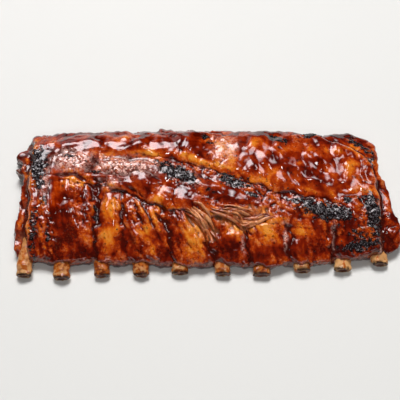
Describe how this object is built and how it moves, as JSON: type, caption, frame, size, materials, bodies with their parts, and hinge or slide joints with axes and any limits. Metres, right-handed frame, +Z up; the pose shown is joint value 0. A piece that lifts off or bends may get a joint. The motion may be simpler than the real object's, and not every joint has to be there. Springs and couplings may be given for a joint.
{
  "type": "rack of ribs",
  "caption": "Rack of glazed pork ribs lying meat side up, with the cut rib bones standing out along the front edge.",
  "frame": {"origin": "on the surface that the rack lies on, under the middle of the whole rack's box", "axes": "+X along the rack, +Z up through the meat side, -Y to the cut bone ends"},
  "size_m": [0.3492, 0.1444, 0.0381],
  "materials": {
    "glazed_meat": "gloss",
    "rib_bone": "satin",
    "pulled_meat": "satin",
    "charred_crumbs": "satin"
  },
  "bodies": {
    "root": {"meat": "glazed_meat", "bone_01": "rib_bone", "bone_02": "rib_bone", "bone_03": "rib_bone", "bone_04": "rib_bone", "bone_05": "rib_bone", "bone_06": "rib_bone", "bone_07": "rib_bone", "bone_08": "rib_bone", "bone_09": "rib_bone", "bone_10": "rib_bone"}
  },
  "joints": []
}
